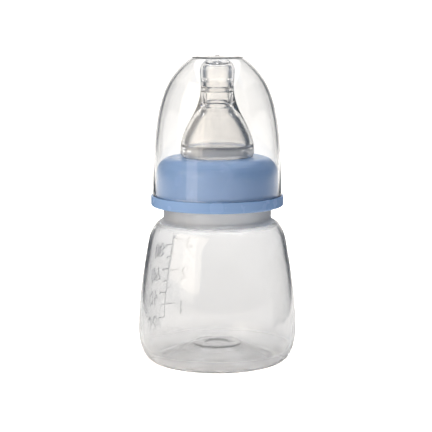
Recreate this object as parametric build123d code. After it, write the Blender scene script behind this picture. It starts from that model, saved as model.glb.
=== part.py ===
# Small baby bottle: a blow-moulded bottle, a nipple, a screw collar and a dome cap.
# Millimetres. +Z runs up the bottle's axis, and z = 0 is the plane that the base ring stands on.
# An outline is drawn upwards in the XZ plane. Its stations are (radius, height, normal), where normal
# is the angle in degrees that the surface's outward normal rises above the horizontal.
import os
from math import cos, radians, sin

from build123d import *

# Bottle body
body_radius = 28.5          # at the widest point
body_height = 51.4          # base to the foot of the neck
body_wall = 1.2
widest_height = 11.5        # height of the widest point
body_taper = 3.65           # how much narrower the body is where its shoulder starts
side_lean = 10.0
shoulder_drop = 7.4         # from the foot of the neck down to where the shoulder starts
shoulder_lean = 64.0
heel_inset = 6.5            # from the widest point in to the ring that the bottle stands on
heel_round = 5.0
heel_sweep = 58.0
base_ring = 1.7             # width of the flat ring that touches the table
punt_height = 5.3           # how far the middle of the base is pushed up
punt_top_radius = 8.5
punt_round = 1.6
dimple_radius = 4.3         # shallow dish in the punt's flat top
dimple_depth = 0.4

# Neck and thread
neck_band = 5.9             # plain band between the shoulder and the thread
neck_wall = 1.6
neck_fillet = 0.9
bore_blend = 1.5            # how far above the neck's foot the inside becomes a plain bore
mouth_round = 0.5
thread_radius = 19.4        # over the crest of the neck's thread
thread_depth = 1.3
thread_pitch = 4.0
thread_root_width = 2.0
thread_crest_width = 1.0
thread_embed = 0.4          # how deep a ridge is rooted in its wall
neck_thread_turns = 1.75
collar_thread_turns = 1.5
thread_start = 3.6          # from the top of the band to the middle of the first ridge
mouth_margin = 1.4          # from the last ridge's edge to the mouth rim

# Fits
thread_radial_gap = 0.3
thread_flank_gap = 0.15
face_gap = 0.05             # between faces that seat on each other
hole_gap = 0.2              # nipple in the collar's hole
cap_gap = 0.35              # cap around the collar

# Scale moulded on the outside of the body
relief_height = 0.3
relief_root = 0.4
stroke = 0.55
scale_angle = 46.0          # from the back towards the left side
scale_lean = 3.5
scale_bottom = 11.2         # height of the lowest mark
mark_heights = (0, 9.7, 18.6, 27.8)
mark_labels = ("20", "40", "60", "80")
mark_length = 3.6
ounce_heights = (4.9, 18.0, 30.2)
ounce_labels = ("1", "2", "3")
ounce_length = 5.2
minor_length = 1.8
label_distance = 8.0        # from the scale's spine to the middle of a label
label_drop = 1.4
digit_height = 4.6
digit_gap = 0.8

# Nipple
flange_margin = 1.4         # how far the flange reaches over the mouth rim, from the bore outwards
flange_thickness = 2.0
flange_top_round = 1.3
flange_bottom_round = 0.6
groove_round = 0.3
groove_radius = 11.3        # the waist that sits in the collar's hole
bulge_radius = 13.2         # the dome just above the collar
bulge_height = 2.6
bulge_round = 1.4
nipple_height = 34.8        # from the top of the collar to the tip
nipple_wall = 2.7
nipple_bore = 9.4
ledge_height = 3.7          # small inner ledge at the foot of the dome
ledge_rise = 0.5
ledge_lean = 3.0            # of the dome's inside just above the ledge
dome_middle = 14.6          # height of a point halfway up the dome
dome_middle_radius = 8.9
dome_middle_lean = 29.0
teat_radius = 6.2
waist_radius = 5.9
waist_drop = 10.1           # below the tip
teat_bore = 4.3
teat_bore_drop = 17.8       # where the bore meets the inside of the dome
tip_wall = 2.4
tip_round = 4.2
tip_inner_round = 1.2
rib_radius = 1.0            # rounded rings inside the teat
rib_drops = (7.5, 10.8, 16.7)
rib_reaches = (0.3, 0.8, 0.9)
feed_hole_radius = 0.3

# Collar
collar_gap = 5.2            # from the foot of the neck to the bottom of the collar
plate_thickness = 1.8
collar_wall = 2.15
collar_top_round = 5.7
collar_inner_round = 3.2
hole_round = 0.6
rim_height = 3.85           # the bottom rim that the cap stands on
rim_margin = 0.6            # how far that rim stands out past the cap
rim_round = 0.3
rim_bottom_round = 0.8
lead_in = 0.8

# Dome cap
cap_wall = 1.05
cap_headroom = 0.2          # over the tip of the nipple
cap_top_radius = 9.0
cap_top_crown = 0.4
crown_lean = 87.0
cap_top_lean = 54.0
cap_shoulder_inset = 4.95   # from the cap's rim in to its rounded shoulder
cap_shoulder_drop = 11.4
cap_shoulder_lean = 24.0
cap_side_inset = 0.85       # from the rim in to the top of the cap's straight side
cap_side_drop = 30.4
cap_side_lean = 5.5
cap_rim_lean = 1.8
gate_radius = 0.8           # mark that the moulding gate leaves on top
gate_height = 0.2

# Heights and radii that follow from those
thread_root = thread_radius - thread_depth
mouth_radius = thread_root - neck_wall
band_top = body_height + neck_band
neck_thread_start = band_top + thread_start
neck_thread_rise = thread_pitch * neck_thread_turns
mouth_height = neck_thread_start + neck_thread_rise + thread_root_width / 2 + mouth_margin
nipple_bottom = mouth_height + face_gap
flange_radius = mouth_radius + flange_margin
flange_top = nipple_bottom + flange_thickness
plate_bottom = flange_top + face_gap
collar_top = plate_bottom + plate_thickness
collar_bottom = body_height + collar_gap
collar_bore = thread_radius + thread_radial_gap
collar_radius = collar_bore + collar_wall
hole_radius = groove_radius + hole_gap
nipple_tip = collar_top + nipple_height
cap_radius = collar_radius + cap_gap + cap_wall
cap_bottom = collar_bottom + rim_height + face_gap
cap_top = nipple_tip + cap_headroom + cap_wall
rim_radius = cap_radius + rim_margin


def revolved(section):
    """Solid of revolution about Z of a section in the XZ plane."""
    return revolve(Plane.XZ * section, axis=Axis.Z)


def heading(normal):
    """Direction of an outline where its outward normal rises by this angle."""
    return (-sin(radians(normal)), cos(radians(normal)))


def moved_in(station, inset):
    """Point of an outline, moved in along its normal."""
    radius, height, normal = station
    return (radius - inset * cos(radians(normal)), height - inset * sin(radians(normal)))


def smooth(stations, inset=0.0):
    """Smooth outline through stations, all moved in by one wall thickness."""
    points = [moved_in(station, inset) for station in stations]
    return Spline(*points, tangents=[heading(station[2]) for station in stations])


def block(low, high):
    """Rectangle in an outline's plane, given by two corners."""
    middle = ((low[0] + high[0]) / 2, (low[1] + high[1]) / 2)
    return Pos(*middle) * Rectangle(high[0] - low[0], high[1] - low[1])


def corner(sketch, radius, height):
    """The vertex of a sketch that is nearest to a point."""
    return sketch.vertices().sort_by_distance((radius, height, 0))[0]


def body_section(inset, neck_radius, blend):
    """Half section of the body's outside, or of its inside when it is moved in by the wall."""
    base_radius = body_radius - heel_inset
    punt_radius = base_radius - base_ring
    dish = punt_height - dimple_depth
    heel_normal = heel_sweep - 90
    heel_end = (
        base_radius + heel_round * cos(radians(heel_normal)),
        heel_round + heel_round * sin(radians(heel_normal)),
        heel_normal,
    )
    widest = (body_radius, widest_height, 0)
    shoulder = (body_radius - body_taper, body_height - shoulder_drop, side_lean)
    foot = (thread_radius + neck_fillet, body_height, shoulder_lean)
    floor = FilletPolyline(
        (0, dish + inset),
        (dimple_radius, dish + inset),
        (dimple_radius + dimple_depth, punt_height + inset),
        (punt_top_radius, punt_height + inset),
        (punt_radius, inset),
        (base_radius, inset),
        radius=[dimple_depth / 2, dimple_depth / 2, punt_round, punt_round],
    )
    heel = CenterArc((base_radius, heel_round), heel_round - inset, -90, heel_sweep)
    side = [smooth(pair, inset) for pair in ((heel_end, widest), (widest, shoulder), (shoulder, foot))]
    neck_foot = (neck_radius, body_height + blend)
    fillet_curve = Spline(moved_in(foot, inset), neck_foot, tangents=[heading(shoulder_lean), (0, 1)])
    top = Polyline(neck_foot, (neck_radius, mouth_height), (0, mouth_height), (0, dish + inset))
    return make_face([floor, heel, *side, fillet_curve, top])


def ridge(wall_radius, turns, start_height, side):
    """Helical thread ridge on a round wall: side is 1 on the outside of it and -1 on the inside."""
    path = Helix(thread_pitch, thread_pitch * turns, wall_radius)
    slope = (thread_root_width - thread_crest_width) / 2 / thread_depth
    root_half = thread_root_width / 2 + slope * thread_embed
    crest_half = thread_crest_width / 2
    root_x = -side * thread_embed
    crest_x = side * thread_depth
    outline = Polyline(
        (root_x, -root_half), (crest_x, -crest_half), (crest_x, crest_half), (root_x, root_half), close=True
    )
    section = Plane(origin=path @ 0, x_dir=(1, 0, 0), z_dir=path % 0) * make_face(outline)
    return Pos(0, 0, start_height) * sweep(section, path=path, is_frenet=True)


def ring(height):
    """Round bowl of a numeral, as a ring in the numeral's own cell."""
    bow = digit_height / 4
    return Pos(0, height) * (Circle(bow + stroke / 2) - Circle(bow - stroke / 2))


def digit_strokes(digit):
    """Centre lines of a numeral's open strokes, in a cell half as wide as it is tall."""
    bow = digit_height / 4
    top = (0, bow)
    bottom = (0, -bow)
    if digit == "0":
        sides = [Line((x, -bow), (x, bow)) for x in (-bow, bow)]
        return [CenterArc(top, bow, 0, 180), CenterArc(bottom, bow, 180, 180), *sides]
    if digit == "1":
        return [Line((0, -2 * bow), (0, 2 * bow))]
    if digit == "2":
        hook = CenterArc(top, bow, -30, 190)
        return [hook, Line(hook @ 0, (-bow, -2 * bow)), Line((-bow, -2 * bow), (bow, -2 * bow))]
    if digit == "3":
        return [CenterArc(top, bow, -90, 240), CenterArc(bottom, bow, -150, 240)]
    if digit == "4":
        corners = [(bow / 2, -2 * bow), (bow / 2, 2 * bow), (-bow, -bow / 2), (bow, -bow / 2)]
        return [Line(start, end) for start, end in zip(corners, corners[1:])]
    if digit == "6":
        return [Line((-0.8 * bow, -bow / 2), (bow / 2, 2 * bow))]
    return []


def digit_shape(digit):
    """One numeral, drawn with a round-ended stroke."""
    bow = digit_height / 4
    bowls = {"6": (-bow,), "8": (-bow, bow)}.get(digit, ())
    lines = digit_strokes(digit)
    ends = [Pos(line @ end) * Circle(stroke / 2) for line in lines for end in (0, 1)]
    return Sketch() + [ring(height) for height in bowls] + [trace(line, stroke) for line in lines] + ends


def label(text, x, y):
    """Numerals of one label, centred on a point of the scale's own plane."""
    advance = digit_height / 2 + stroke + digit_gap
    start = x - advance * (len(text) - 1) / 2
    glyphs = [Pos(start + advance * i, y) * digit_shape(digit) for i, digit in enumerate(text)]
    return Sketch() + glyphs


def scale_drawing():
    """Spine, marks and numerals of the scale: millilitres to the right, ounces to the left."""
    spine_top = ounce_heights[-1] + minor_length
    drawing = block((-stroke / 2, -stroke / 2), (stroke / 2, spine_top))
    for height, text in zip(mark_heights, mark_labels):
        drawing += block((0, height - stroke / 2), (mark_length, height + stroke / 2))
        drawing += label(text, label_distance, height - label_drop)
    for low, high in zip(mark_heights, mark_heights[1:]):
        middle = (low + high) / 2
        drawing += block((0, middle - stroke / 2), (minor_length, middle + stroke / 2))
    for height, text in zip(ounce_heights, ounce_labels):
        drawing += block((-ounce_length, height - stroke / 2), (0, height + stroke / 2))
        drawing += label(text, -label_distance, height - label_drop)
    for low, high in zip(ounce_heights, ounce_heights[1:]):
        middle = (low + high) / 2
        drawing += block((-minor_length, middle - stroke / 2), (0, middle + stroke / 2))
    return drawing


def scale_relief():
    """The scale as a thin raised layer that follows the body's surface."""
    layer = revolved(body_section(-relief_height, thread_radius, neck_fillet))
    layer -= revolved(body_section(relief_root, thread_radius - relief_root, neck_fillet))
    outward = (-sin(radians(scale_angle)), cos(radians(scale_angle)), 0)
    rightward = (-cos(radians(scale_angle)), -sin(radians(scale_angle)), 0)
    plane = Plane(origin=(0, 0, scale_bottom), x_dir=rightward, z_dir=outward)
    drawing = plane * (Rot(0, 0, scale_lean) * scale_drawing())
    return layer & extrude(drawing, amount=body_radius + 2 * relief_height)


def make_bottle():
    """Body, plain neck band, threaded mouth and moulded scale, in one wall."""
    outside = revolved(body_section(0, thread_radius, neck_fillet))
    inside = revolved(body_section(body_wall, mouth_radius, bore_blend))
    waste = block((thread_root, band_top), (thread_radius + mouth_margin, mouth_height + mouth_margin))
    bottle = outside - revolved(waste) - inside
    mouth_edges = bottle.edges().filter_by(GeomType.CIRCLE).group_by(Axis.Z)[-1]
    bottle = fillet(mouth_edges, mouth_round)
    bottle += ridge(thread_root, neck_thread_turns, neck_thread_start, 1)
    return bottle + scale_relief()


def make_collar():
    """Screw collar: bottom rim, threaded skirt and a top plate with the nipple's hole."""
    rim_top = collar_bottom + rim_height
    section = block((0, collar_bottom), (rim_radius, rim_top))
    section += block((0, rim_top), (collar_radius, collar_top))
    section = fillet(corner(section, collar_radius, collar_top), collar_top_round)
    section = fillet(corner(section, rim_radius, rim_top), rim_round)
    section = fillet(corner(section, rim_radius, collar_bottom), rim_bottom_round)
    hollow = block((0, collar_bottom), (collar_bore, plate_bottom))
    hollow = fillet(corner(hollow, collar_bore, plate_bottom), collar_inner_round)
    section -= hollow
    section -= block((0, plate_bottom), (hole_radius, collar_top))
    section = fillet(corner(section, hole_radius, collar_top), hole_round)
    section = chamfer(corner(section, collar_bore, collar_bottom), lead_in)
    both_slopes = (thread_root_width - thread_crest_width) / thread_depth
    overlap_width = thread_root_width - both_slopes * (thread_depth + thread_radial_gap) / 2
    collar_thread_start = neck_thread_start - overlap_width - thread_flank_gap
    return revolved(section) + ridge(collar_bore, collar_thread_turns, collar_thread_start, -1)


def nipple_outside():
    """Half section of the nipple's outer shape, from the flange to the tip."""
    bulge = (bulge_radius, collar_top + bulge_height, 0)
    middle = (dome_middle_radius, collar_top + dome_middle, dome_middle_lean)
    waist = (waist_radius, nipple_tip - waist_drop, 0)
    teat = (teat_radius, nipple_tip - tip_round, 0)
    foot = collar_top + face_gap
    dome = smooth((bulge, middle, waist, teat))
    crown = CenterArc((teat_radius - tip_round, nipple_tip - tip_round), tip_round, 0, 90)
    base = FilletPolyline(
        (0, nipple_bottom),
        (flange_radius, nipple_bottom),
        (flange_radius, flange_top),
        (groove_radius, flange_top),
        (groove_radius, foot),
        (bulge_radius, foot),
        (bulge_radius, collar_top + bulge_height),
        radius=[flange_bottom_round, flange_top_round, groove_round, groove_round, bulge_round],
    )
    top = Polyline((teat_radius - tip_round, nipple_tip), (0, nipple_tip), (0, nipple_bottom))
    return make_face([base, dome, crown, top])


def nipple_inside():
    """Half section of the hollow in the nipple, without the rings in the teat."""
    ledge = collar_top + ledge_height
    middle = (dome_middle_radius, collar_top + dome_middle, dome_middle_lean)
    foot = (bulge_radius - nipple_wall, ledge)
    neck = (teat_bore, nipple_tip - teat_bore_drop)
    ceiling = nipple_tip - tip_wall
    dome = Spline(
        foot,
        moved_in(middle, nipple_wall),
        neck,
        tangents=[heading(ledge_lean), heading(dome_middle_lean), (0, 1)],
    )
    base = Polyline(
        (0, nipple_bottom),
        (nipple_bore, nipple_bottom),
        (nipple_bore, ledge - ledge_rise),
        foot,
    )
    corner_start = (teat_bore, ceiling - tip_inner_round)
    crown = CenterArc((teat_bore - tip_inner_round, corner_start[1]), tip_inner_round, 0, 90)
    top = Polyline((teat_bore - tip_inner_round, ceiling), (0, ceiling), (0, nipple_bottom))
    return make_face([base, dome, Line(neck, corner_start), crown, top])


def make_nipple():
    """Silicone nipple: flange, groove for the collar, dome and ribbed teat with a feeding hole."""
    nipple = revolved(nipple_outside()) - revolved(nipple_inside())
    for drop, reach in zip(rib_drops, rib_reaches):
        nipple += revolved(Pos(teat_bore + rib_radius - reach, nipple_tip - drop) * Circle(rib_radius))
    return nipple - Pos(0, 0, nipple_tip) * Cylinder(feed_hole_radius, 2 * (tip_wall + tip_round))


def cap_section(inset):
    """Half section of the dome cap's outside, or of its inside when it is moved in by the wall."""
    start = (cap_radius - inset, cap_bottom)
    side = (cap_radius - cap_side_inset, cap_top - cap_side_drop, cap_side_lean)
    shoulder = (cap_radius - cap_shoulder_inset, cap_top - cap_shoulder_drop, cap_shoulder_lean)
    edge = (cap_top_radius, cap_top - cap_top_crown, cap_top_lean)
    points = [start] + [moved_in(station, inset) for station in (side, shoulder, edge)]
    leans = (cap_rim_lean, cap_side_lean, cap_shoulder_lean, cap_top_lean)
    dome = Spline(*points, tangents=[heading(lean) for lean in leans])
    crown = Spline(points[-1], (0, cap_top - inset), tangents=[heading(crown_lean), (-1, 0)])
    bottom = Polyline((0, cap_top - inset), (0, cap_bottom), start)
    return make_face([dome, crown, bottom])


def make_cap():
    """Clear dome cap, open at the bottom."""
    cap = revolved(cap_section(0)) - revolved(cap_section(cap_wall))
    gate = block((0, cap_top - cap_wall / 2), (gate_radius, cap_top + gate_height))
    return cap + revolved(gate)


parts = {
    "bottle": make_bottle(),
    "nipple": make_nipple(),
    "collar": make_collar(),
    "cap": make_cap(),
}
os.makedirs("parts", exist_ok=True)
for name, shape in parts.items():
    export_step(shape, f"parts/{name}.step")
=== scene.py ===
# Small baby bottle: blow-moulded bottle, screw collar, silicone nipple and clear dome cap
import math

import bmesh
import bpy
from mathutils import Matrix, Vector, geometry


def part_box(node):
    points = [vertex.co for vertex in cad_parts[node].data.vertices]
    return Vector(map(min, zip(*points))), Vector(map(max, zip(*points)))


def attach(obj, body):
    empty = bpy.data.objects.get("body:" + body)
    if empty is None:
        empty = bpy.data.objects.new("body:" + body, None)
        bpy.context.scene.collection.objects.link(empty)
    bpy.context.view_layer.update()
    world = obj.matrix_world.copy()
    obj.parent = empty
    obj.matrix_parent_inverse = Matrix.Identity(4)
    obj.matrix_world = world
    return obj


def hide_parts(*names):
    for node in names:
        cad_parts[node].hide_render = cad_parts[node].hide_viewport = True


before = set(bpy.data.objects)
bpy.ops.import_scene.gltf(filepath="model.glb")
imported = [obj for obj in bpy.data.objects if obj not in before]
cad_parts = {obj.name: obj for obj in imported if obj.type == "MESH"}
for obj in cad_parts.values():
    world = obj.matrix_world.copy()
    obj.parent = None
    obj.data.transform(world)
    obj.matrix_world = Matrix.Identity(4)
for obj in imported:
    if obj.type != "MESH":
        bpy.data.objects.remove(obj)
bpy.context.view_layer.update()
scene = bpy.context.scene
mm = 0.001
same = 0.001  # millimetres: points closer than this are one point
wholeTurn = 2 * math.pi


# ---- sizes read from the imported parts, in millimetres ----
def reach(node):  # radius, lowest and highest point of a part
    low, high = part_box(node)
    return (high.x - low.x) / 2 / mm, low.z / mm, high.z / mm


bodyRadius, bottleFoot, mouthHeight = reach("bottle")
rimRadius, collarFoot, collarTop = reach("collar")
flangeRadius, nippleFoot, nippleTip = reach("nipple")
capRadius, capFoot, capTop = reach("cap")


# ---- outlines: lists of (radius, height), drawn with the solid on the left ----
def heading(lean):  # direction of an outline whose outward normal rises by lean degrees
    return Vector((-math.sin(math.radians(lean)), math.cos(math.radians(lean))))


def movedIn(station, inset):  # a station is (radius, height, lean)
    radius, height, lean = station
    angle = math.radians(lean)
    return Vector((radius, height)) - inset * Vector((math.cos(angle), math.sin(angle)))


def bend(stations, steps, inset=0.0):  # one smooth curve through stations, moved in by a wall
    points = []
    for first, second in zip(stations, stations[1:]):
        start, end = movedIn(first, inset), movedIn(second, inset)
        pull = (end - start).length / 3
        handles = start + heading(first[2]) * pull, end - heading(second[2]) * pull
        points += geometry.interpolate_bezier(start, *handles, end, steps)
    return [Vector(p[:2]) for p in points]


def arc(centre, radius, start, end, steps=6):
    angles = [math.radians(start + (end - start) * i / steps) for i in range(steps + 1)]
    return [Vector(centre) + radius * Vector((math.cos(a), math.sin(a))) for a in angles]


def rounded(points, radii, steps=5):  # straight runs with their corners rounded
    points = [Vector(p) for p in points]
    line = [points[0]]
    for before, corner, after, radius in zip(points, points[1:], points[2:], radii):
        back, ahead = (before - corner).normalized(), (after - corner).normalized()
        turn = math.pi - back.angle(ahead)
        reachOut = radius * math.tan(turn / 2)
        pull = 4 / 3 * math.tan(turn / 4) * radius
        start, end = corner + back * reachOut, corner + ahead * reachOut
        curve = geometry.interpolate_bezier(start, start - back * pull, end - ahead * pull, end, steps)
        line += [Vector(p[:2]) for p in curve]
    return line + [points[-1]]


def densified(points, spacing):  # extra points along long runs, so that relief has vertices to move
    line = [points[0]]
    for start, end in zip(points, points[1:]):
        count = max(1, math.ceil((end - start).length / spacing))
        line += [start.lerp(end, i / count) for i in range(1, count + 1)]
    return line


# ---- turning an outline into a closed mesh ----
def lathe(outline, turns, startAngle=0.0):  # turns is a list of (angle, steps) that add up to one round
    shape = bmesh.new()
    clean = [outline[0]]
    for point in outline[1:]:
        if (point - clean[-1]).length > same / 10:
            clean.append(point)
    turned = Matrix.Rotation(startAngle, 3, "Z")
    first = [shape.verts.new(turned @ Vector((point.x, 0, point.y))) for point in clean]
    last = first + [shape.edges.new(pair) for pair in zip(first, first[1:])]
    if clean[0].x > same or clean[-1].x > same:
        last.append(shape.edges.new((first[-1], first[0])))
    about = {"cent": (0, 0, 0), "axis": (0, 0, 1), "use_merge": len(turns) == 1}
    for angle, steps in turns:
        last = bmesh.ops.spin(shape, geom=last, angle=angle, steps=steps, **about)["geom_last"]
    seam = [vert for vert in first + last if isinstance(vert, bmesh.types.BMVert) and vert.is_valid]
    seam += [vert for vert in shape.verts if vert.co.xy.length < same]
    bmesh.ops.remove_doubles(shape, verts=list(set(seam)), dist=same)
    bmesh.ops.recalc_face_normals(shape, faces=shape.faces)
    return shape


def finishMesh(name, shape, body, node):
    bmesh.ops.scale(shape, verts=shape.verts, vec=(mm, mm, mm))
    mesh = bpy.data.meshes.new(name)
    shape.to_mesh(mesh)
    shape.free()
    mesh.shade_smooth()
    piece = bpy.data.objects.new(name, mesh)
    scene.collection.objects.link(piece)
    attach(piece, body)
    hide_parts(node)
    print(name, len(mesh.polygons), "faces")
    return piece


def smoothStep(value):
    value = min(1.0, max(0.0, value))
    return value * value * (3 - 2 * value)


def addRidge(shape, wall, side, thread, start, turns):  # raises a helical thread ridge on a round wall
    rise = thread["pitch"] * turns
    fade = math.radians(thread["fade"])
    for vert in shape.verts:
        radius = vert.co.xy.length
        onWall = abs(radius - wall) < 0.02
        if not onWall or not start - thread["root"] < vert.co.z < start + rise + thread["root"]:
            continue
        angle = math.atan2(vert.co.y, vert.co.x) % wholeTurn
        lift = 0.0
        for turn in range(math.ceil(turns) + 1):
            wound = angle + wholeTurn * turn
            if wound > wholeTurn * turns:
                break
            away = abs(vert.co.z - start - thread["pitch"] * wound / wholeTurn)
            flank = (thread["root"] / 2 - away) / ((thread["root"] - thread["crest"]) / 2)
            ends = smoothStep(wound / fade) * smoothStep((wholeTurn * turns - wound) / fade)
            lift = max(lift, min(1.0, max(0.0, flank)) * ends)
        grown = (radius + side * thread["depth"] * lift) / radius
        vert.co.x *= grown
        vert.co.y *= grown


thread = {"pitch": 4.0, "depth": 1.3, "root": 2.0, "crest": 1.0, "radius": 19.4, "fade": 25}


# ---- bottle ----
bottle = {
    "wall": 1.2, "neckHeight": 18.9, "shoulderDrop": 7.4, "taper": 3.65, "sideLean": 10, "shoulderLean": 64,
    "widest": 11.5, "heelInset": 6.5, "heelRound": 5.0, "heelSweep": 58, "ring": 1.7,
    "punt": 5.3, "puntTop": 8.5, "dimple": 4.3, "dimpleDepth": 0.4, "bandTop": 13.0, "bore": 16.5,
    "threadDrop": 9.4, "threadTurns": 1.75, "threadRow": 0.28, "steps": 16, "insideSteps": 18,
    "neckFlare": 0.9, "throat": 1.5,
    "floorRounds": (0.2, 0.2, 1.6, 1.6), "neckRounds": (0.25, 0.25, 0.5, 0.5),
}
scaleMarks = {
    "angle": 136, "halfWidth": 25, "columns": 124, "otherColumns": 110, "row": 0.22, "low": 8.0, "high": 44.5,
    "lean": 3.5, "foot": 11.2, "relief": 0.3, "stroke": 0.55, "soft": 0.17, "margin": 0.6,
    "millilitres": {"20": 0.0, "40": 9.7, "60": 18.6, "80": 27.8}, "ounces": {"1": 4.9, "2": 18.0, "3": 30.2},
    "mark": 3.6, "ounceMark": 5.2, "minor": 1.8, "labelAway": 8.0, "labelDrop": 1.4, "digit": 4.6, "gap": 0.8,
}


def bodyOutline(inset, steps):  # from the start of the heel to the foot of the neck
    foot = mouthHeight - bottle["neckHeight"]
    ringOut = bodyRadius - bottle["heelInset"]
    heelLean = bottle["heelSweep"] - 90
    heelEnd = movedIn((ringOut, bottle["heelRound"], heelLean), -bottle["heelRound"])
    stations = [
        (heelEnd.x, heelEnd.y, heelLean),
        (bodyRadius, bottle["widest"], 0),
        (bodyRadius - bottle["taper"], foot - bottle["shoulderDrop"], bottle["sideLean"]),
        (thread["radius"] + bottle["neckFlare"], foot, bottle["shoulderLean"]),
    ]
    heel = arc((ringOut, bottle["heelRound"]), bottle["heelRound"] - inset, -90, heelLean, 8)
    return heel + bend(stations, steps, inset)


def floorOutline(lift):  # from the axis to the ring that the bottle stands on
    dish = bottle["punt"] - bottle["dimpleDepth"]
    ringOut = bodyRadius - bottle["heelInset"]
    points = [
        (0, dish), (bottle["dimple"], dish), (bottle["dimple"] + bottle["dimpleDepth"], bottle["punt"]),
        (bottle["puntTop"], bottle["punt"]), (ringOut - bottle["ring"], 0), (ringOut, 0),
    ]
    return rounded([(x, z + lift) for x, z in points], bottle["floorRounds"])


def bottleOutline():
    foot = mouthHeight - bottle["neckHeight"]
    root = thread["radius"] - thread["depth"]
    bandTop = mouthHeight - bottle["bandTop"]
    outside = floorOutline(0) + bodyOutline(0, bottle["steps"])
    flare = (thread["radius"] + bottle["neckFlare"], foot, bottle["shoulderLean"])
    bandFoot = (thread["radius"], foot + bottle["neckFlare"])
    throatFoot = (bottle["bore"], foot + bottle["throat"])
    outside += bend([flare, (*bandFoot, 0)], 6)
    neck = [bandFoot, (thread["radius"], bandTop), (root, bandTop), (root, mouthHeight)]
    neck += [(bottle["bore"], mouthHeight), throatFoot]
    neckLine = rounded(neck, bottle["neckRounds"], 4)
    outside += densified(neckLine[:-1], bottle["threadRow"]) + neckLine[-1:]
    inside = floorOutline(bottle["wall"]) + bodyOutline(bottle["wall"], bottle["insideSteps"])
    inside += bend([(*movedIn(flare, bottle["wall"]), bottle["shoulderLean"]), (*throatFoot, 0)], 8)
    return outside, inside


def digitStrokes(digit):  # centre lines of a numeral, as runs of points in a cell half as wide as tall
    bow = scaleMarks["digit"] / 4
    upper = [arc((0, bow), bow, a, b, 10) for a, b in ((0, 180), (0, 360), (-30, 160), (-90, 150))]
    lower = [arc((0, -bow), bow, a, b, 10) for a, b in ((180, 360), (0, 360), (0, 0), (-150, 90))]
    run = {
        "0": [upper[0] + lower[0] + [Vector((bow, bow))]],
        "1": [[(0, -2 * bow), (0, 2 * bow)]],
        "2": [[(bow, -2 * bow), (-bow, -2 * bow)] + upper[2]],
        "3": [upper[3], lower[3]],
        "4": [[(bow / 2, -2 * bow), (bow / 2, 2 * bow), (-bow, -bow / 2), (bow, -bow / 2)]],
        "6": [lower[1], [(-0.8 * bow, -bow / 2), (bow / 2, 2 * bow)]],
        "8": [upper[1], lower[1]],
    }[digit]
    return [[Vector(point) for point in stroke] for stroke in run]


def labelStrokes(text, x, y):
    advance = scaleMarks["digit"] / 2 + scaleMarks["stroke"] + scaleMarks["gap"]
    start = x - advance * (len(text) - 1) / 2
    strokes = []
    for place, digit in enumerate(text):
        shift = Vector((start + advance * place, y))
        strokes += [[point + shift for point in stroke] for stroke in digitStrokes(digit)]
    return strokes


def scaleStrokes():  # millilitres to the right of the spine, ounces to the left
    top = max(scaleMarks["ounces"].values()) + scaleMarks["minor"]
    strokes = [[Vector((0, 0)), Vector((0, top))]]
    for side, marks, length in ((1, scaleMarks["millilitres"], scaleMarks["mark"]),
                                (-1, scaleMarks["ounces"], scaleMarks["ounceMark"])):
        heights = list(marks.values())
        for text, height in marks.items():
            strokes.append([Vector((0, height)), Vector((side * length, height))])
            strokes += labelStrokes(text, side * scaleMarks["labelAway"], height - scaleMarks["labelDrop"])
        for low, high in zip(heights, heights[1:]):
            middle = (low + high) / 2
            strokes.append([Vector((0, middle)), Vector((side * scaleMarks["minor"], middle))])
    return strokes


def raiseScale(shape):  # moves the wall outwards under each stroke
    strokes = scaleStrokes()
    margin = scaleMarks["margin"]
    boxes = []
    for stroke in strokes:
        xs, ys = [p.x for p in stroke], [p.y for p in stroke]
        boxes.append((min(xs) - margin, max(xs) + margin, min(ys) - margin, max(ys) + margin))
    angle = math.radians(scaleMarks["angle"])
    upright = Matrix.Rotation(-math.radians(scaleMarks["lean"]), 2)
    outward = Vector((math.cos(angle), math.sin(angle)))
    rightward = Vector((-math.sin(angle), math.cos(angle)))
    edge, soft = scaleMarks["stroke"] / 2, scaleMarks["soft"]
    for vert in shape.verts:
        flat = vert.co.xy
        onOutside = flat.length > outerRadius(vert.co.z) - 0.1
        if not onOutside or flat.dot(outward) < bodyRadius / 2:
            continue
        place = upright @ Vector((flat.dot(rightward), vert.co.z - scaleMarks["foot"]))
        nearest = margin
        for stroke, (left, right, low, high) in zip(strokes, boxes):
            if not (left < place.x < right and low < place.y < high):
                continue
            for start, end in zip(stroke, stroke[1:]):
                foot, share = geometry.intersect_point_line(place, start, end)
                foot = foot if 0 <= share <= 1 else (start if share < 0 else end)
                nearest = min(nearest, (place - Vector(foot[:2])).length)
        lift = scaleMarks["relief"] * smoothStep((edge + soft - nearest) / (2 * soft))
        vert.co.x *= 1 + lift / flat.length
        vert.co.y *= 1 + lift / flat.length


outsideLine = []


def outerRadius(height):  # radius of the body's outside at a height
    for low, high in zip(outsideLine, outsideLine[1:]):
        if low.y <= height <= high.y:
            return low.x + (high.x - low.x) * (height - low.y) / max(high.y - low.y, 1e-6)
    return 0.0


def makeBottle():
    outside, inside = bottleOutline()
    outsideLine.extend(bodyOutline(0, bottle["steps"]))
    finer = []
    for start, end in zip(outside, outside[1:]):
        underScale = scaleMarks["low"] < start.y < scaleMarks["high"]
        finer += densified([start, end], scaleMarks["row"])[:-1] if underScale else [start]
    outline = finer + [outside[-1]] + list(reversed(inside))
    half = math.radians(scaleMarks["halfWidth"])
    turns = [(2 * half, scaleMarks["columns"]), (wholeTurn - 2 * half, scaleMarks["otherColumns"])]
    shape = lathe(outline, turns, math.radians(scaleMarks["angle"]) - half)
    root = thread["radius"] - thread["depth"]
    addRidge(shape, root, 1, thread, mouthHeight - bottle["threadDrop"], bottle["threadTurns"])
    raiseScale(shape)
    return finishMesh("bottleBody", shape, "bottle", "bottle")


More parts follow.
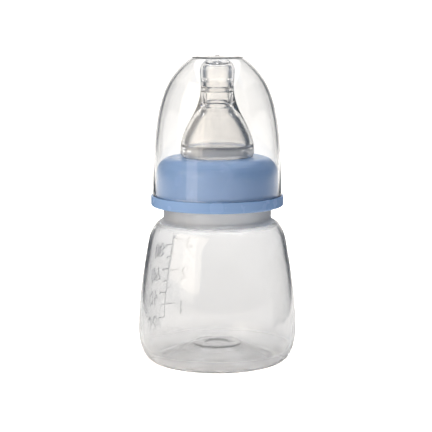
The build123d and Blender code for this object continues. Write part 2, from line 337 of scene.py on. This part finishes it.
# ---- collar ----
collar = {
    "skirt": 21.85, "rimHeight": 3.85, "rimRound": 0.3, "rimBottomRound": 0.8, "topRound": 5.7,
    "hole": 11.5, "holeRound": 0.6, "plate": 1.8, "bore": 19.7, "innerRound": 3.2, "leadIn": 0.8,
    "rimFillet": 0.35, "threadFoot": 2.765, "threadTurns": 1.5, "edge": 0.2, "row": 0.3, "columns": 192,
}


def makeCollar():
    rimTop = collarFoot + collar["rimHeight"]
    plateFoot = collarTop - collar["plate"]
    outline = [
        (collar["bore"] + collar["leadIn"], collarFoot), (rimRadius, collarFoot), (rimRadius, rimTop),
        (collar["skirt"], rimTop), (collar["skirt"], collarTop), (collar["hole"], collarTop),
        (collar["hole"], plateFoot), (collar["bore"], plateFoot),
        (collar["bore"], collarFoot + collar["leadIn"]),
        (collar["bore"] + collar["leadIn"], collarFoot),
    ]
    radii = (collar["rimBottomRound"], collar["rimRound"], collar["rimFillet"], collar["topRound"],
             collar["holeRound"], collar["edge"], collar["innerRound"], collar["edge"])
    line = densified(rounded(outline, radii, 8), collar["row"])
    shape = lathe(line[:-1], [(wholeTurn, collar["columns"])])
    addRidge(shape, collar["bore"], -1, thread, collarFoot + collar["threadFoot"], collar["threadTurns"])
    return finishMesh("screwCollar", shape, "collar", "collar")


# ---- nipple ----
nipple = {
    "flange": 2.0, "groove": 11.3, "bulge": 13.2, "bulgeHeight": 2.6, "wall": 2.7, "bore": 9.4,
    "ledge": 3.7, "ledgeRise": 0.5, "ledgeLean": 3, "middle": 14.6, "middleRadius": 8.9, "middleLean": 29,
    "teat": 6.2, "waist": 5.9, "waistDrop": 10.1, "teatBore": 4.3, "boreDrop": 17.8, "tipWall": 2.4,
    "tipRound": 4.2, "tipInner": 1.2, "hole": 0.3, "seat": 0.05, "outerRounds": (0.6, 1.3, 0.3, 0.3, 1.4),
    "ribs": ((7.5, 0.3), (10.8, 0.8), (16.7, 0.9)), "ribRound": 1.0, "row": 0.2, "columns": 144,
}


def makeNipple():
    flangeTop = nippleFoot + nipple["flange"]
    tipStart = nippleTip - nipple["tipRound"]
    bulge = (nipple["bulge"], collarTop + nipple["bulgeHeight"], 0)
    middle = (nipple["middleRadius"], collarTop + nipple["middle"], nipple["middleLean"])
    waist = (nipple["waist"], nippleTip - nipple["waistDrop"], 0)
    domeFoot = collarTop + nipple["seat"]
    outside = rounded([
        (nipple["bore"], nippleFoot), (flangeRadius, nippleFoot), (flangeRadius, flangeTop),
        (nipple["groove"], flangeTop), (nipple["groove"], domeFoot), (nipple["bulge"], domeFoot), bulge[:2],
    ], nipple["outerRounds"])
    outside += bend([bulge, middle, waist, (nipple["teat"], tipStart, 0)], 22)
    outside += arc((nipple["teat"] - nipple["tipRound"], tipStart), nipple["tipRound"], 0, 90, 14)
    outside += [Vector((nipple["hole"], nippleTip))]
    ceiling = nippleTip - nipple["tipWall"]
    ledge = collarTop + nipple["ledge"]
    teatFoot = (nipple["teatBore"], nippleTip - nipple["boreDrop"], 0)
    innerFoot = (nipple["bulge"] - nipple["wall"], ledge, nipple["ledgeLean"])
    innerMiddle = (*movedIn(middle, nipple["wall"]), nipple["middleLean"])
    inside = [Vector((nipple["bore"], nippleFoot))] + rounded([
        (nipple["bore"], nippleFoot + 0.3), (nipple["bore"], ledge - nipple["ledgeRise"]), innerFoot[:2],
    ], (nipple["ledgeRise"] / 2,))
    inside += bend([innerFoot, innerMiddle, teatFoot], 18)
    crownFoot = ceiling - nipple["tipInner"]
    inside += densified([Vector(teatFoot[:2]), Vector((nipple["teatBore"], crownFoot))], nipple["row"])
    inside += arc((nipple["teatBore"] - nipple["tipInner"], crownFoot), nipple["tipInner"], 0, 90, 8)
    inside += [Vector((nipple["hole"], ceiling))]
    for drop, standsOut in nipple["ribs"]:  # rounded rings that stop the teat from collapsing
        centre = nipple["teatBore"] + nipple["ribRound"] - standsOut
        for point in inside:
            away = abs(point.y - (nippleTip - drop))
            if away < nipple["ribRound"]:
                point.x = min(point.x, centre - math.sqrt(nipple["ribRound"] ** 2 - away ** 2))
    shape = lathe(outside + list(reversed(inside))[:-1], [(wholeTurn, nipple["columns"])])
    return finishMesh("feedingNipple", shape, "nipple", "nipple")


# ---- cap ----
cap = {
    "wall": 1.05, "top": 9.0, "crown": 0.4, "topLean": 54, "crownLean": 87, "gate": 0.8, "gateHeight": 0.2,
    "shoulderInset": 4.95, "shoulderDrop": 11.4, "shoulderLean": 24,
    "sideInset": 0.85, "sideDrop": 30.4, "sideLean": 5.5, "rimLean": 1.8, "rimRound": 0.3, "columns": 176,
    "gateFoot": 1.4, "gateRounds": (0.1, 0.15),
}


def makeCap():
    roof = capTop - cap["gateHeight"]
    stations = [
        (capRadius, capFoot, cap["rimLean"]),
        (capRadius - cap["sideInset"], roof - cap["sideDrop"], cap["sideLean"]),
        (capRadius - cap["shoulderInset"], roof - cap["shoulderDrop"], cap["shoulderLean"]),
        (cap["top"], roof - cap["crown"], cap["topLean"]),
    ]
    crown = [(cap["top"], roof - cap["crown"], cap["crownLean"]), (0, roof, 90)]
    outside = bend(stations, 26) + bend(crown, 10)[1:]
    inside = bend(stations, 26, cap["wall"]) + bend(crown, 10, cap["wall"])[1:]
    gate = [(cap["gateFoot"], roof), (cap["gate"], roof), (cap["gate"], capTop), (0, capTop)]
    outside = [point for point in outside if point.x > cap["gateFoot"] + 0.1]
    outside += rounded(gate, cap["gateRounds"], 3)
    rimOut = [Vector((capRadius - cap["rimRound"], capFoot))] + arc(
        (capRadius - cap["rimRound"], capFoot + cap["rimRound"]), cap["rimRound"], -90, 0, 4)
    inRadius = capRadius - cap["wall"]
    rimIn = arc((inRadius + cap["rimRound"], capFoot + cap["rimRound"]), cap["rimRound"], 180, 270, 4)
    above = capFoot + cap["rimRound"]
    outline = [point for point in reversed(inside) if point.y > above] + rimIn + rimOut
    outline += [point for point in outside if point.y > above]
    shape = lathe(outline, [(wholeTurn, cap["columns"])])
    return finishMesh("domeCap", shape, "cap", "cap")


# ---- materials ----
def linear(hexColour):
    channels = [int(hexColour[i:i + 2], 16) / 255 for i in (1, 3, 5)]
    return [c / 12.92 if c <= 0.04045 else ((c + 0.055) / 1.055) ** 2.4 for c in channels] + [1.0]


def addNode(tree, kind, settings=None, links=None):  # one node, with its settings and its incoming links
    node = tree.nodes.new(kind)
    for name, value in (settings or {}).items():
        if name in node.inputs:
            node.inputs[name].default_value = value
        else:
            setattr(node, name, value)
    for name, source in (links or {}).items():
        tree.links.new(source, node.inputs[name])
    return node


def newMaterial(name):
    material = bpy.data.materials.new(name)
    material.use_nodes = True
    material.node_tree.nodes.clear()
    return material, material.node_tree


def patternNoise(tree, place, sizeInMm, detail=2.0):  # noise whose features are about this size
    settings = {"Scale": 1 / (sizeInMm * mm), "Detail": detail}
    return addNode(tree, "ShaderNodeTexNoise", settings, {"Vector": place})


def spread(tree, source, low, high):  # maps noise to a range
    settings = {"From Min": 0.3, "From Max": 0.7, "To Min": low, "To Max": high}
    return addNode(tree, "ShaderNodeMapRange", settings, {"Value": source}).outputs["Result"]


def mixedColour(tree, share, first, second):
    mixed = addNode(tree, "ShaderNodeMix", {"data_type": "RGBA"}, {"Factor": share})
    mixed.inputs[6].default_value, mixed.inputs[7].default_value = linear(first), linear(second)
    return mixed.outputs[2]


def worked(tree, operation, first, second):  # arithmetic on a socket and a number, or on two sockets
    node = addNode(tree, "ShaderNodeMath", {"operation": operation})
    for socket, value in zip(node.inputs, (first, second)):
        if isinstance(value, (int, float)):
            socket.default_value = value
        else:
            tree.links.new(value, socket)
    return node.outputs["Value"]


def grainBump(tree, height, depthInMm, links=None):  # bump whose full height is depthInMm
    settings = {"Strength": 1.0, "Distance": depthInMm * mm}
    return addNode(tree, "ShaderNodeBump", settings, {"Height": height, **(links or {})}).outputs["Normal"]


def clearPlastic(name, finish):  # a see-through moulding: surface haze, moulded grain and tinted depth
    material, tree = newMaterial(name)
    place = addNode(tree, "ShaderNodeTexCoord").outputs["Object"]
    cloud = patternNoise(tree, place, finish["cloud"], 3.0).outputs["Fac"]
    grain = patternNoise(tree, place, finish["grain"]).outputs["Fac"]
    wave = patternNoise(tree, place, finish["wave"]).outputs["Fac"]
    rough = spread(tree, cloud, *finish["roughness"])
    waved = grainBump(tree, wave, finish["waveDepth"])
    grained = grainBump(tree, grain, finish["grainDepth"], {"Normal": waved})
    surface = addNode(
        tree, "ShaderNodeBsdfPrincipled",
        {"IOR": finish["ior"], "Transmission Weight": finish["clear"], "Subsurface Weight": 1.0,
         "Subsurface Radius": (1.0, 1.0, 1.0), "Subsurface Scale": 2.0 * mm},
        {"Base Color": mixedColour(tree, cloud, *finish["colours"]), "Normal": grained},
    )
    if "satin" in finish:  # one or two heights where the wall is thick: milky, and matt from the mould
        height = addNode(tree, "ShaderNodeSeparateXYZ", None, {"Vector": place}).outputs["Z"]
        zones = []
        for start, full, strength in finish["satin"]:
            ends = {"From Min": start * mm, "From Max": full * mm, "To Max": strength}
            ends["interpolation_type"] = "SMOOTHSTEP"
            zones.append(addNode(tree, "ShaderNodeMapRange", ends, {"Value": height}).outputs["Result"])
        thick = worked(tree, "MAXIMUM", zones[0], zones[-1])
        clear = worked(tree, "SUBTRACT", finish["clear"], worked(tree, "MULTIPLY", thick, finish["milk"]))
        rough = worked(tree, "ADD", rough, worked(tree, "MULTIPLY", thick, finish["matt"]))
        tree.links.new(clear, surface.inputs["Transmission Weight"])
    tree.links.new(rough, surface.inputs["Roughness"])
    depth = {"Color": linear(finish["depthColour"]), "Density": finish["density"]}
    volume = addNode(tree, "ShaderNodeVolumeAbsorption", depth).outputs["Volume"]
    addNode(tree, "ShaderNodeOutputMaterial", None, {"Surface": surface.outputs["BSDF"], "Volume": volume})
    return material


bottleFinish = {  # natural polypropylene, blow-moulded: a little haze, soft waves, milky where it is thick
    "colours": ("#FAFAFA", "#FCFCFC"), "cloud": 9, "grain": 1.2, "grainDepth": 0.002,
    "wave": 11, "waveDepth": 0.05,
    "ior": 1.49, "clear": 0.95, "roughness": (0.03, 0.08), "depthColour": "#B4BCC8", "density": 75,
    "satin": ((49.0, 52.5, 1.0), (9.0, 3.0, 0.2)), "milk": 0.4, "matt": 0.4,
}
nippleFinish = {  # liquid silicone rubber from a polished mould: clear, slightly warm, faint surface ripple
    "colours": ("#FDFBF8", "#FFFDFB"), "cloud": 6, "grain": 0.6, "grainDepth": 0.001,
    "wave": 5, "waveDepth": 0.02,
    "ior": 1.41, "clear": 0.98, "roughness": (0.02, 0.06), "depthColour": "#C6CAD0", "density": 35,
    "satin": ((79.2, 76.6, 1.0),), "milk": 0.25, "matt": 0.05,
}
capFinish = {  # clear polystyrene, injection-moulded and polished
    "colours": ("#FEFEFD", "#FFFFFF"), "cloud": 14, "grain": 0.8, "grainDepth": 0.0006,
    "wave": 16, "waveDepth": 0.02,
    "ior": 1.5, "clear": 0.99, "roughness": (0.01, 0.03), "depthColour": "#C2C4C8", "density": 35,
}
collarFinish = {  # pale blue polypropylene, injection-moulded: an even colour with a soft shine
    "base": "#94B4E0", "shade": "#8CADDB", "cloud": 7, "grain": 0.6, "grainDepth": 0.002,
    "ior": 1.49, "roughness": (0.2, 0.3), "scatter": 0.12, "scatterDepth": 1.5,
}


def bluePlastic():  # coloured polypropylene, injection-moulded: opaque, glossy, faint flow clouds
    material, tree = newMaterial("collarPolypropylene")
    place = addNode(tree, "ShaderNodeTexCoord").outputs["Object"]
    cloud = patternNoise(tree, place, collarFinish["cloud"], 4.0).outputs["Fac"]
    grain = patternNoise(tree, place, collarFinish["grain"]).outputs["Fac"]
    colour = mixedColour(tree, cloud, collarFinish["shade"], collarFinish["base"])
    bump = grainBump(tree, grain, collarFinish["grainDepth"])
    rough = spread(tree, cloud, *collarFinish["roughness"])
    surface = addNode(
        tree, "ShaderNodeBsdfPrincipled",
        {"IOR": collarFinish["ior"], "Subsurface Weight": collarFinish["scatter"],
         "Subsurface Radius": (0.8, 1.0, 1.3), "Subsurface Scale": collarFinish["scatterDepth"] * mm},
        {"Base Color": colour, "Roughness": rough, "Normal": bump},
    )
    addNode(tree, "ShaderNodeOutputMaterial", None, {"Surface": surface.outputs["BSDF"]})
    return material


# ---- studio ----
studio = {
    "distance": 0.5634, "height": 0.1353, "pitch": 8.35, "lens": 131.7, "aside": -0.00046,
    # paperShade, lit and unlit: painted shade that darkens the paper towards the sides for all but camera
    # rays
    "paper": "#F2EFEB", "paperShade": "#565B62", "paperGlow": 0.3, "lit": 0.3, "unlit": 1.0,
    "sweepFront": -2.0, "sweepStart": 1.1, "sweepRound": 0.5, "sweepHeight": 1.2, "sweepSide": 1.6,
    "cardAside": 0.115, "cardFront": -0.02, "cardBack": 0.3, "cardHeight": 0.045, "card": "#575D66",
    "burntOut": 1.5, "surround": "#6F7A88", "surroundStrength": 0.8,
}
lamps = {  # place, aim, width, height, brightness and colour of each softbox
    "keySoftbox": ((-0.25, -0.25, 0.2), (0, 0, 0.2), 0.13, 0.34, 1.1, "#FFF6E8"),
    "fillSoftbox": ((-1.0, -0.75, 0.7), (0, 0, 0.1), 1.5, 1.3, 1.75, "#FFF2E0"),
    "topSoftbox": ((0.0, 0.2, 1.1), (0, 0.2, 0), 1.4, 1.4, 1.35, "#FFFFFF"),
    "sweepSoftbox": ((0.0, 0.35, 0.9), (0, 1.6, 0.3), 1.6, 0.5, 3.6, "#FFFFFF"),
}


def aimed(place, target):
    return (Vector(target) - Vector(place)).to_track_quat("-Z", "Y")


def makeSheet(name, line, across):  # a sheet from a row of points, drawn out along across
    shape = bmesh.new()
    row = [shape.verts.new(point) for point in line]
    edges = [shape.edges.new(pair) for pair in zip(row, row[1:])]
    drawn = bmesh.ops.extrude_edge_only(shape, edges=edges)["geom"]
    drawnVerts = [part for part in drawn if isinstance(part, bmesh.types.BMVert)]
    bmesh.ops.translate(shape, verts=drawnVerts, vec=across)
    mesh = bpy.data.meshes.new(name)
    shape.to_mesh(mesh)
    shape.free()
    sheet = bpy.data.objects.new(name, mesh)
    scene.collection.objects.link(sheet)
    return sheet


def makePaper():  # a sweep of white paper that the camera sees burnt out to plain white; other rays see it glow dimly as painted light, with painted shade towards the sides
    start, turn, height = studio["sweepStart"], studio["sweepRound"], studio["sweepHeight"]
    profile = [Vector((studio["sweepFront"], 0))] + arc((start, turn), turn, -90, 0, 24)
    profile += [Vector((start + turn, height))]
    side = studio["sweepSide"]
    paper = makeSheet("paperSweep", [(-side, p.x, p.y) for p in profile], (2 * side, 0, 0))
    paper.data.shade_smooth()
    material, tree = newMaterial("paperWithPaintedShade")
    seen = addNode(tree, "ShaderNodeLightPath").outputs["Is Camera Ray"]
    brightness = {"To Min": studio["paperGlow"], "To Max": studio["burntOut"]}
    glow = addNode(tree, "ShaderNodeMapRange", brightness, {"Value": seen})
    place = addNode(tree, "ShaderNodeTexCoord").outputs["Object"]
    across = addNode(tree, "ShaderNodeSeparateXYZ", None, {"Vector": place}).outputs["X"]
    # painted shade: for all but camera rays, the paper's colour and the glow that uses it darken from paper
    # to paperShade between lit and unlit metres from the middle, in place of light that falls off towards the
    # sides
    ends = {"From Min": studio["lit"], "From Max": studio["unlit"], "interpolation_type": "SMOOTHSTEP"}
    away = addNode(tree, "ShaderNodeMapRange", ends, {"Value": worked(tree, "ABSOLUTE", across, 0.0)})
    aside = worked(tree, "MULTIPLY", away.outputs["Result"], worked(tree, "SUBTRACT", 1.0, seen))
    colour = mixedColour(tree, aside, studio["paper"], studio["paperShade"])
    matt = addNode(
        tree, "ShaderNodeBsdfPrincipled", {"Roughness": 0.9, "Specular IOR Level": 0.2},
        {"Base Color": colour, "Emission Color": colour, "Emission Strength": glow.outputs["Result"]},
    )
    addNode(tree, "ShaderNodeOutputMaterial", None, {"Surface": matt.outputs["BSDF"]})
    paper.data.materials.append(material)


def makeEdgeCards():  # dark cards outside the picture, which draw the edges of the clear body
    material, tree = newMaterial("mattCard")
    matt = addNode(tree, "ShaderNodeBsdfPrincipled", {"Base Color": linear(studio["card"]), "Roughness": 0.8})
    addNode(tree, "ShaderNodeOutputMaterial", None, {"Surface": matt.outputs["BSDF"]})
    for name, aside in (("leftCard", -studio["cardAside"]), ("rightCard", studio["cardAside"])):
        foot = [(aside, y, 0.0) for y in (studio["cardFront"], studio["cardBack"])]
        card = makeSheet(name, foot, (0, 0, studio["cardHeight"]))
        card.data.materials.append(material)
        card.visible_camera = False


def makeStudio():
    makePaper()
    makeEdgeCards()
    for name, (place, target, width, height, brightness, colour) in lamps.items():
        data = bpy.data.lights.new(name, "AREA")
        data.shape, data.size, data.size_y = "RECTANGLE", width, height
        data.energy = brightness * math.pi * width * height
        data.color = linear(colour)[:3]
        lamp = bpy.data.objects.new(name, data)
        lamp.location = place
        lamp.rotation_euler = aimed(place, target).to_euler()
        scene.collection.objects.link(lamp)
    world = bpy.data.worlds.new("studioWorld")
    scene.world = world
    world.use_nodes = True
    tree = world.node_tree
    tree.nodes.clear()
    seen = addNode(tree, "ShaderNodeLightPath").outputs["Is Camera Ray"]
    mixed = addNode(tree, "ShaderNodeMixShader", None, {"Fac": seen})
    shades = ((studio["surround"], studio["surroundStrength"]), (studio["paper"], studio["burntOut"]))
    for socket, (colour, strength) in zip(mixed.inputs[1:], shades):
        shade = addNode(tree, "ShaderNodeBackground", {"Color": linear(colour), "Strength": strength})
        tree.links.new(shade.outputs["Background"], socket)
    addNode(tree, "ShaderNodeOutputWorld", None, {"Surface": mixed.outputs["Shader"]})
    data = bpy.data.cameras.new("camera")
    data.lens = studio["lens"]
    camera = bpy.data.objects.new("camera", data)
    camera.location = (studio["aside"], -studio["distance"], studio["height"])
    camera.rotation_euler = (math.radians(90 - studio["pitch"]), 0, 0)
    scene.collection.objects.link(camera)
    scene.camera = camera
    scene.view_settings.view_transform = "Standard"
    scene.cycles.blur_glossy = 0.0  # light under the clear cap isn't dimmed
    scene.cycles.max_bounces = scene.cycles.transmission_bounces = 24  # light crosses up to eight clear walls


bottlePiece = makeBottle()
collarPiece = makeCollar()
nipplePiece = makeNipple()
capPiece = makeCap()
bottlePiece.data.materials.append(clearPlastic("bottlePolypropylene", bottleFinish))
nipplePiece.data.materials.append(clearPlastic("nippleSilicone", nippleFinish))
capPiece.data.materials.append(clearPlastic("capPolystyrene", capFinish))
collarPiece.data.materials.append(bluePlastic())
print("materials done")
makeStudio()
print("studio done")
